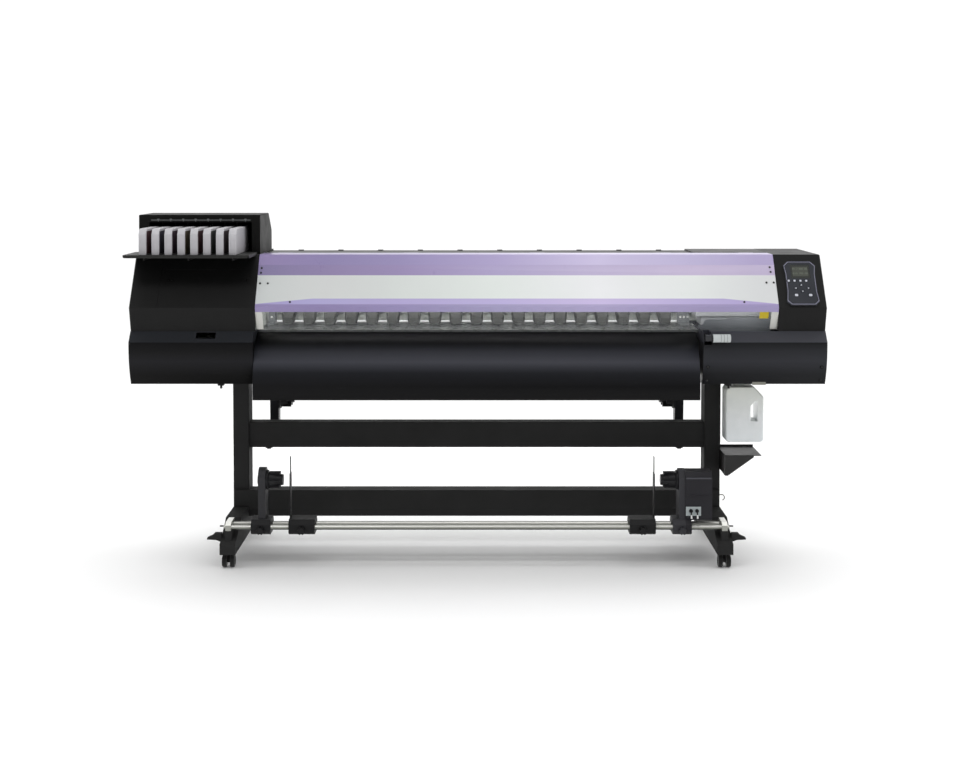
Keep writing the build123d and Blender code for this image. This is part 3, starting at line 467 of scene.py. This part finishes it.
black_cover = moulding("black_cover", colour("0c0c0c"), rough=(0.4, 0.56), specular=0.2)
# Lower covers: painted highlight across the middle of the curved front, painted shade above and below it, and
# the upward bevel at the top painted lighter for the light falling on it; the right cover is painted lighter
# than the left, as the side the light falls on.
left_lower = coat_with_painted_light("left_lower_painted_light", "left_lower_cover", stops_of(
    (0.0, "060606"), (0.18, "0d0d0d"), (0.45, "202023"), (0.62, "171718"), (0.80, "0c0c0e"),
    (0.812, "25272b"), (1.0, "282a2e")), specular=0.08)
right_lower = coat_with_painted_light("right_lower_painted_light", "right_lower_cover", stops_of(
    (0.0, "0e0f12"), (0.20, "191a1d"), (0.45, "2e2f34"), (0.65, "27282c"), (0.80, "17181a"),
    (0.812, "404147"), (1.0, "404147")), specular=0.12)
# Painted highlight across the middle of the heater's curve, with painted shade above and below it.
heater_painted_light = coat_with_painted_light("heater_painted_light", "after_heater", stops_of(
    (0.0, "060607"), (0.22, "0c0c0e"), (0.42, "1d1e22"), (0.58, "3f4047"), (0.72, "303137"),
    (0.84, "0d0e10"), (0.93, "060607"), (1.0, "030304")), rough=(0.34, 0.44), specular=0.12)
stand_coat = powder_coat("stand_coat", colour("303030"), rough=(0.6, 0.75), specular=0.05)
guide_coat = powder_coat("guide_coat", colour("17181b"), rough=(0.32, 0.44))
takeup_body = moulding("takeup_body", colour("1f1f23"), rough=(0.4, 0.58))
takeup_upright = moulding("takeup_upright", colour("2e2e31"), rough=(0.4, 0.58),
                          masked=(arm_foot, colour("141416")))
clamp_black = moulding("clamp_black", colour("111112"), rough=(0.45, 0.62))
cone_body = moulding("cone_body", colour("151518"), rough=(0.35, 0.5))
caster_body = moulding("caster_body", colour("0e0e0e"))
arm_body = moulding("arm_body", colour("3e3f3b"), rough=(0.45, 0.6), dust=0.0)
black_trim = moulding("black_trim", colour("0c0c0d"), rough=(0.5, 0.7))
pale_trim = moulding("pale_trim", colour("d8d8d2"), rough=(0.4, 0.55), dust=0.0)
grey_trim = moulding("grey_trim", colour("6d7070"), rough=(0.4, 0.55), dust=0.0)
white_legend = moulding("white_legend", colour("c9ccd6"), rough=(0.3, 0.45), dust=0.0)
bright_steel = brushed("bright_steel", colour("a9a79f"))
switch_tip = moulding("switch_tip", colour("e8e8e6"), rough=(0.3, 0.4), dust=0.0,
                      masked=(switch_socket, colour("111112")))

# Each node's material and the width of its rounded edges.
FINISHES = {
    "left_stand": (stand_coat, 0.0008), "right_stand": (stand_coat, 0.0008),
    "upper_beam": (stand_coat, 0.0), "lower_beam": (stand_coat, 0.0012), "rear_rail": (stand_coat, 0.001),
    "chassis": (chassis_material(), 0.0),
    "platen": (brushed("platen_grey", colour("474949"), metallic=0.2), 0.0),
    "carriage_drive": (brushed("rail_steel", colour("8c8c88")), 0.0),
    "after_heater": (heater_painted_light, 0.0015), "rear_guide": (guide_coat, 0.0015),
    "top_cover": (powder_coat("top_coat", colour("141415")), 0.0006),
    "left_station_cover": (black_cover, 0.0012), "right_station_cover": (black_cover, 0.0012),
    "left_lower_cover": (left_lower, 0.0012), "right_lower_cover": (right_lower, 0.0012),
    "ink_box": (moulding("ink_box_black", colour("0f0f0e"), specular=0.12), 0.001),
    "ink_shelf": (moulding("shelf_black", colour("222221"), rough=(0.4, 0.6)), 0.0008),
    "control_panel": (moulding("bezel_gloss", colour("33353b"), rough=(0.12, 0.24), coat=0.3, dust=0.0), 0.0),
    "lcd_screen": (display_material(), 0.0),
    "capping_unit": (moulding("tray_grey", colour("5c5f62"), dust=0.0), 0.0008),
    "takeup_bars": (bar_material(), 0.0008),
    "tank_bracket": (powder_coat("bracket_coat", colour("1c1c1b"), specular=0.4), 0.0005),
    "cover_screws": (brushed("screw_black", colour("0a0a0a"), metallic=0.2), 0.0),
    "power_inlet": (black_trim, 0.0),
    "front_lid": (lid_material(), 0.0012), "lid_window": (window_material(), 0.0),
    "carriage": (moulding("carriage_pale", colour("8b8d8e"), dust=0.0), 0.0015),
    "clamp_lever": (moulding("lever_pale", colour("b9bebe"), rough=(0.35, 0.5),
                             masked=(lever_dark, colour("37383b"))), 0.0),
    "pinch_arms": (arm_body, 0.0006), "pinch_rollers": (rubber("roller_pale", colour("b9bcb6")), 0.0004),
    "feed_roller": (brushed("grit_steel", colour("8f8f8c")), 0.0005),
    "takeup_arm": (takeup_upright, 0.0014), "takeup_arm_cone": (cone_body, 0.0008),
    "takeup_drive": (drive_material(), 0.0014), "takeup_drive_cone": (cone_body, 0.0008),
    "feed_switch": (switch_tip, 0.0), "direction_switch": (switch_tip, 0.0),
    "left_media_guide": (clamp_black, 0.0004), "right_media_guide": (clamp_black, 0.0004),
    "left_roll_holder": (takeup_body, 0.0012), "right_roll_holder": (takeup_body, 0.0012),
    "left_roll_cone": (cone_body, 0.0008), "right_roll_cone": (cone_body, 0.0008),
    "waste_tank": (tank_material(), 0.0),
}
for end in CASTERS:
    FINISHES[f"caster_fork_{end}"] = (caster_body, 0.0005)
    FINISHES[f"caster_wheels_{end}"] = (rubber("tread_" + end, colour("0d0d0d")), 0.0)
for number, name in enumerate(CARTRIDGES):
    FINISHES[name] = (cartridge_material(number), 0.0)
for name, (material, bevel) in FINISHES.items():
    dress(name, material, bevel)


# ---------------------------------------------------------------- added pieces


def mesh_object(name, bm, material):
    """Object in the scene from a bmesh, which is freed."""
    mesh = bpy.data.meshes.new(name)
    bm.to_mesh(mesh)
    bm.free()
    mesh.materials.append(material)
    obj = bpy.data.objects.new(name, mesh)
    bpy.context.scene.collection.objects.link(obj)
    return obj


def piece(name, bm, material, body, bevel=0.0):
    """Turn a bmesh, in metres of the frame, into an object that rides on a body."""
    bmesh.ops.recalc_face_normals(bm, faces=bm.faces)
    obj = mesh_object(name, bm, material)
    if bevel:
        round_edges(obj, bevel, 40)
    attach(obj, body)


def add_box(bm, low, high):
    """Box between two corners."""
    centre = [(a + b) / 2 for a, b in zip(low, high)]
    size = [b - a for a, b in zip(low, high)]
    bmesh.ops.create_cube(bm, size=1.0, matrix=Matrix.Translation(centre) @ Matrix.Diagonal((*size, 1.0)))


def add_disc(bm, centre, axis, radius, depth, sides=24, tip=None):
    """Round bar about a centre, along an axis."""
    turn = Vector((0, 0, 1)).rotation_difference(Vector(axis)).to_matrix().to_4x4()
    bmesh.ops.create_cone(bm, cap_ends=True, segments=sides, radius1=radius,
                          radius2=radius if tip is None else tip, depth=depth,
                          matrix=Matrix.Translation(centre) @ turn)


def add_plate(bm, points, normal, depth):
    """Flat outline of 3-D points raised along a normal."""
    face = bm.faces.new([bm.verts.new(p) for p in points])
    raised = bmesh.ops.extrude_face_region(bm, geom=[face])
    moved = [v for v in raised["geom"] if isinstance(v, bmesh.types.BMVert)]
    bmesh.ops.translate(bm, verts=moved, vec=Vector(normal) * depth)


# The end covers and the control panel lean back 137 mm in 203: unit vectors up this slope and out of it.
LEAN = math.atan2(137, 203)
UP = Vector((0, math.sin(LEAN), math.cos(LEAN)))
OUT = Vector((0, -math.cos(LEAN), math.sin(LEAN)))
panel_low, panel_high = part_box("control_panel")
PANEL = (panel_low + panel_high) / 2
PANEL += OUT * (max(v.co.dot(OUT) for v in NODES["control_panel"].data.vertices) - PANEL.dot(OUT))


def on_panel(across, up, lift=0.0):
    """Point on the panel's face from its middle."""
    return PANEL + Vector((across, 0, 0)) + UP * up + OUT * lift


def add_key(bm, across, up, size, lift=0.0):
    """Rounded rectangle on the panel's face, of a width and a height."""
    width, height = size
    radius = min(size) * 0.3
    points = []
    for cx, cy, start in ((1, 1, 0), (-1, 1, 90), (-1, -1, 180), (1, -1, 270)):
        for step in range(4):
            a = math.radians(start + step * 30)
            points.append(on_panel(across + cx * (width / 2 - radius) + radius * math.cos(a),
                                   up + cy * (height / 2 - radius) + radius * math.sin(a), lift))
    add_plate(bm, points, OUT, 0.0005)


def add_arrow(bm, across, up, turn):
    """Triangle on a key, turned in degrees from pointing up."""
    radius = 0.0042
    points = []
    for k in range(3):
        a = math.radians(turn + 90 + 120 * k)
        points.append(on_panel(across + radius * math.cos(a), up + radius * math.sin(a), 0.0006))
    add_plate(bm, points, OUT, 0.0004)


def make_keypad():
    """Flush touch keys with pale generic legends, and a pale lilac line round the bezel as a painted
    highlight on its edge.
    """
    keys = bmesh.new()
    legends = bmesh.new()
    small_key, arrow_key, wide_key = (0.017, 0.0105), (0.017, 0.0125), (0.023, 0.014)
    small_legend, wide_legend, legend_lift = (0.0085, 0.0085), (0.013, 0.0105), 0.0004
    small_row, wide_row = 0.0097, -0.0555
    for k in range(4):
        across = -0.049 + k * 0.0233
        add_key(keys, across, small_row, small_key)
        add_key(legends, across, small_row, small_legend, legend_lift)
    for across, up, turn in ((-0.001, -0.0097, 0), (-0.024, -0.024, 90), (0.026, -0.024, 270),
                             (0.002, -0.0380, 180)):
        add_key(keys, across, up, arrow_key)
        add_arrow(legends, across, up, turn)
    for across in (-0.025, 0.031):
        add_key(keys, across, wide_row, wide_key)
        add_key(legends, across, wide_row, wide_legend, legend_lift)
    key_black = moulding("key_black", colour("2b2d33"), rough=(0.2, 0.3), dust=0.0)
    piece("panel_keys", keys, key_black, "printer")
    piece("panel_key_legends", legends, white_legend, "printer")
    # The panel's outline in millimetres, and the line's outer and inner edges as shares of it.
    corners = [(47, 100), (65, 82), (60, 44), (60, -40), (65, -78), (65, -84), (49, -100)]
    outline = [(x * MM, y * MM) for x, y in corners + [(-x, y) for x, y in reversed(corners)]]
    outer, inner = ([on_panel(x * wide, y * tall, 0.0001) for x, y in outline]
                    for wide, tall in ((0.955, 0.97), (0.925, 0.95)))
    line = bmesh.new()
    for i in range(len(outline)):
        after = (i + 1) % len(outline)
        add_plate(line, (outer[i], outer[after], inner[after], inner[i]), OUT, 0.0004)
    # The lilac line is a painted highlight along the bezel's edge.
    edge_highlight_lilac = moulding("panel_edge_highlight_paint", colour("8f8fa4"), rough=(0.25, 0.35), dust=0.0)
    piece("panel_edge_highlight", line, edge_highlight_lilac, "printer")


def make_lid_screws():
    """Small dark screws near both ends of the lid, square to the slope or to the panel below it."""
    low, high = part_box("front_lid")
    slope_out = Vector((0, -40, 23)).normalized()
    panel_out = Vector((0, -118, 82)).normalized()
    slope_top, slope_foot = high.z - 0.040, high.z - 0.080
    # Distance in from the lid's end and down from its top edge.
    at_left = ((0.0135, 0.0525), (0.0120, 0.0705), (0.012, 0.111), (0.043, 0.111), (0.137, 0.181))
    at_right = ((0.0185, 0.0494), (0.0165, 0.0674), (0.038, 0.108), (0.009, 0.108), (0.135, 0.181))
    places = [(low.x + x, high.z - down) for x, down in at_left]
    places += [(high.x - x, high.z - down) for x, down in at_right]
    bm = bmesh.new()
    for x, z in places:
        if z > slope_foot:
            y, out = low.y + 0.105 - (slope_top - z) * 23 / 40, slope_out
        else:
            y, out = low.y + 0.082 - (slope_foot - z) * 82 / 118, panel_out
        add_disc(bm, Vector((x, y, z)) + out * 0.0007, out, 0.0046, 0.0028, 20, 0.0038)
    piece("lid_screws", bm, FINISHES["cover_screws"][0], "lid")


def make_ink_trim():
    """Pale strip with a tick above each cartridge, and beside all but the last cartridge a tab in its ink
    label's colour, darkened as painted shade of the gap between cartridges.
    """
    low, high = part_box("ink_box")
    front = low.y
    strip_foot, strip_top = high.z - 0.0230, high.z - 0.0198
    bm = bmesh.new()
    add_box(bm, (low.x + 0.049, front - 0.0012, strip_foot), (high.x - 0.039, front + 0.001, strip_top))
    for name in CARTRIDGES:
        c_low, c_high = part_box(name)
        x = (c_low.x + c_high.x) / 2 + 0.018
        for half, proud, foot, top in ((0.0045, 0.0014, strip_top, strip_top + 0.0038),
                                       (0.0015, 0.0013, strip_foot - 0.0040, strip_foot)):
            add_box(bm, (x - half, front - proud, foot), (x + half, front + 0.001, top))
    piece("ink_box_strip", bm, grey_trim, "printer", 0.0003)
    # Ink label colours darkened with the painted shade that falls in the narrow gaps between cartridges.
    label_tints_in_shade = ("43272a", "2e2b38", "33222c", "3d3420", "3c1f22", "2b2e2c", "382c2e")
    for name, tint in zip(CARTRIDGES, label_tints_in_shade):
        c_low, c_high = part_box(name)
        bm = bmesh.new()
        add_box(bm, (c_high.x - 0.0004, c_low.y + 0.012, c_low.z + 0.004),
                (c_high.x + 0.0006, c_high.y - 0.040, c_high.z - 0.010))
        shaded_tab_colour = moulding(name + "_label_in_shade", colour(tint), dust=0.0)
        piece(name + "_tab", bm, shaded_tab_colour, name, 0.0003)


def make_window_details():
    """Brackets with buttons at both ends of the platen, and the amber patch on the lid's clear plate."""
    low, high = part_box("platen")
    step, top = high.y - 0.119, high.z
    bm = bmesh.new()
    for x, width in ((low.x + 0.026, 0.028), (high.x - 0.032, 0.046)):
        add_box(bm, (x - width / 2, step, top), (x + width / 2, step + 0.054, top + 0.052))
        add_box(bm, (x - width / 2, step - 0.036, top), (x + width / 2, step, top + 0.006))
    piece("platen_end_brackets", bm, grey_trim, "printer", 0.0015)
    bm = bmesh.new()
    for x in (low.x + 0.026, high.x - 0.047, high.x - 0.032, high.x - 0.017):
        add_disc(bm, (x, step - 0.001, top + 0.032), (0, -1, 0), 0.0045, 0.003)
    piece("bracket_buttons", bm, pale_trim, "printer", 0.0004)
    low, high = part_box("lid_window")
    fall = Vector((0, 33, -70)).normalized()
    out = Vector((0, -70, -33)).normalized()
    width, height = Vector((0.036, 0, 0)), fall * 0.030
    corner = Vector((high.x - 0.046, low.y + 0.001, high.z - 0.02015)) - fall * 0.003
    bm = bmesh.new()
    add_plate(bm, (corner, corner + width, corner + width + height, corner + height), out, 0.0004)
    piece("amber_patch", bm, moulding("amber", colour("c9b22e"), dust=0.0), "lid")


def hook(name, points, radius, material, body):
    """Bent wire through a list of points."""
    curve = bpy.data.curves.new(name, "CURVE")
    curve.dimensions = "3D"
    curve.bevel_depth = radius
    curve.bevel_resolution = 4
    curve.use_fill_caps = True
    spline = curve.splines.new("NURBS")
    spline.points.add(len(points) - 1)
    for point, place in zip(spline.points, points):
        point.co = (*place, 1.0)
    spline.order_u = 3
    spline.use_endpoint_u = True
    obj = bpy.data.objects.new(name, curve)
    bpy.context.scene.collection.objects.link(obj)
    curve.materials.append(material)
    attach(obj, body)


def make_cover_fittings():
    """Catches and the hanger's foot under the lower covers, and washers round two pairs of screws."""
    left_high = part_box("left_lower_cover")[1]
    right_low, right_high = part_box("right_lower_cover")
    back, foot = right_high.y, right_low.z
    bm = bmesh.new()
    for x in (left_high.x - 0.135, right_low.x + 0.105):
        add_box(bm, (x - 0.012, back - 0.513, foot - 0.008), (x + 0.012, back - 0.487, foot + 0.0002))
        add_box(bm, (x - 0.002, back - 0.515, foot - 0.019), (x + 0.006, back - 0.505, foot - 0.007))
    piece("cover_catches", bm, black_trim, "printer", 0.001)
    bm = bmesh.new()
    x, front = right_low.x + 0.199, back - 0.5185
    add_box(bm, (x, front - 0.005, foot - 0.0030), (x + 0.054, front, foot + 0.0150))
    add_box(bm, (x + 0.004, front, foot - 0.0030), (x + 0.050, front + 0.0615, foot - 0.0002))
    dull_steel = brushed("dull_steel", colour("83837a"), metallic=0.3)
    piece("cover_bracket", bm, dull_steel, "printer", 0.0008)
    bm = bmesh.new()
    for x in (right_low.x + 0.019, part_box("cover_screws")[1].x - 0.0045):
        for y, z in ((back - 0.547, foot + 0.071), (back - 0.526, foot + 0.015)):
            add_disc(bm, (x, y, z), (0, -1, 0), 0.0064, 0.0030, 20)
    washer_black = moulding("washer_black", colour("050505"), specular=0.05)
    piece("screw_washers", bm, washer_black, "printer", 0.0003)


def make_vents():
    """Louvres in both end walls and in two fields of the back."""
    left_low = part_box("left_lower_cover")[0]
    right_low, right_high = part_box("right_lower_cover")
    top_low, top_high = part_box("top_cover")
    inset, proud, height = 0.0012, 0.0004, 0.005
    sides = ((left_low.x - proud, left_low.x + inset),
             (right_high.x - inset, min(right_high.x + proud, cad_box[1][0])))
    bm = bmesh.new()
    for k in range(9):
        z = right_low.z + 0.050 + k * 0.013
        for left, right in sides:
            add_box(bm, (left, right_high.y - 0.307, z), (right, right_high.y - 0.127, z + height))
    for k in range(14):
        z = top_low.z + 0.040 + k * 0.012
        for x in (top_low.x + 0.256, top_high.x - 0.676):
            add_box(bm, (x, top_high.y - 0.0006, z), (x + 0.240, top_high.y + 0.0010, z + height))
    piece("vent_louvres", bm, black_trim, "printer", 0.0006)


def make_leg_hook():
    """Wire hook on the outer face of the right leg."""
    leg = Vector((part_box("tank_bracket")[0].x, 0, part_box("right_stand")[1].z))
    bends = ((-0.0005, 0.004, -0.507), (0.012, 0.002, -0.504), (0.020, 0.002, -0.513),
             (0.020, 0.002, -0.524), (0.012, 0.002, -0.529))
    points = [leg + Vector(bend) for bend in bends]
    hook("leg_hook", points, 0.0022, bright_steel, "printer")


make_keypad()
make_lid_screws()
make_ink_trim()
make_window_details()
make_cover_fittings()
make_vents()
make_leg_hook()


# ---------------------------------------------------------------- stage, light and camera


def make_stage():
    """Pale floor that runs far back, so the horizon is lost in the light background."""
    half_width = 60.0
    bm = bmesh.new()
    bmesh.ops.create_grid(bm, x_segments=1, y_segments=1, size=half_width)
    s = Surface("floor_paint", rough=0.8)
    shade = s.mix(s.noise(1.5, 2.0), (0.93, 0.93, 0.93, 1.0), (0.96, 0.96, 0.96, 1.0))
    floor = mesh_object("floor", bm, s.paint(shade, 0.7, 0.85))


def area_light(name, place, target, size, power):
    """White soft box of a width and height, aimed at a point."""
    light = bpy.data.lights.new(name, "AREA")
    light.shape = "RECTANGLE"
    light.size, light.size_y = size
    light.energy = power
    obj = bpy.data.objects.new(name, light)
    obj.location = place
    obj.rotation_euler = (Vector(target) - Vector(place)).to_track_quat("-Z", "Y").to_euler()
    bpy.context.scene.collection.objects.link(obj)


def make_world():
    """Even white surroundings, dimmer towards the front."""
    strength, front_share = 1.12, 0.32
    world = bpy.data.worlds.new("studio")
    world.use_nodes = True
    tree = world.node_tree
    background = tree.nodes["Background"]
    background.inputs["Strength"].default_value = strength
    direction = tree.nodes.new("ShaderNodeTexCoord")
    split = tree.nodes.new("ShaderNodeSeparateXYZ")
    tree.links.new(direction.outputs["Generated"], split.inputs[0])
    fade = tree.nodes.new("ShaderNodeMapRange")
    for socket, number in zip(RANGE_SOCKETS, (-0.5, 0.3, front_share, 1.0)):
        fade.inputs[socket].default_value = number
    tree.links.new(split.outputs["Y"], fade.inputs["Value"])
    tree.links.new(fade.outputs[0], background.inputs["Color"])
    bpy.context.scene.world = world


def make_lights():
    """Soft sun, soft boxes over the front, at both sides and low behind, and thin lamps inside the lid."""
    sun = bpy.data.lights.new("overhead", "SUN")
    sun.energy = 1.0
    sun.angle = math.radians(60)
    lamp = bpy.data.objects.new("overhead", sun)
    lamp.rotation_euler = (math.radians(-14), 0, 0)
    bpy.context.scene.collection.objects.link(lamp)
    area_light("front_box", (0.0, -3.4, 4.6), (0, -0.2, 0.9), (6.5, 1.0), 54)
    area_light("left_box", (-5.0, -2.5, 2.6), (-0.6, 0, 0.8), (2.0, 3.0), 14)
    area_light("right_box", (5.0, -1.5, 2.8), (0.6, 0, 0.8), (2.0, 3.0), 26)
    low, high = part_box("pinch_arms")
    middle = (low.x + high.x) / 2
    area_light("platen_lamp", (middle, low.y - 0.223, high.z + 0.059),
               (middle, high.y - 0.004, low.z + 0.021), (1.74, 0.012), 3.6)
    area_light("beam_lamp", (middle, low.y + 0.037, high.z + 0.040),
               (middle, high.y + 0.011, low.z + 0.028), (1.74, 0.010), 1.5)
    low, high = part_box("capping_unit")
    middle = (low.x + high.x) / 2
    area_light("bay_lamp", (middle, low.y - 0.077, high.z + 0.056),
               (middle, low.y + 0.098, high.z - 0.023), (0.26, 0.010), 0.26)
    area_light("floor_fill", (0, 2.4, 0.40), (0, -0.5, 0.0), (2.6, 0.4), 9)


def make_camera():
    """Long view from the front, a little above the machine, shifted so that it stands high in the picture."""
    focal_pixels = 1471.0
    width_pixels = 960.0
    tilt = math.radians(2.18)
    camera = bpy.data.cameras.new("camera")
    camera.sensor_width = 36.0
    camera.lens = camera.sensor_width * focal_pixels / width_pixels
    camera.shift_y = -0.17
    camera.clip_start = 0.1
    camera.clip_end = 200.0
    obj = bpy.data.objects.new("camera", camera)
    obj.location = (0.014, -6.1, 1.595)
    obj.rotation_euler = (math.radians(90) - tilt, 0, 0)
    bpy.context.scene.collection.objects.link(obj)
    bpy.context.scene.camera = obj


make_stage()
make_world()
make_lights()
make_camera()
bpy.context.scene.view_settings.view_transform = "Standard"

bpy.context.view_layer.update()
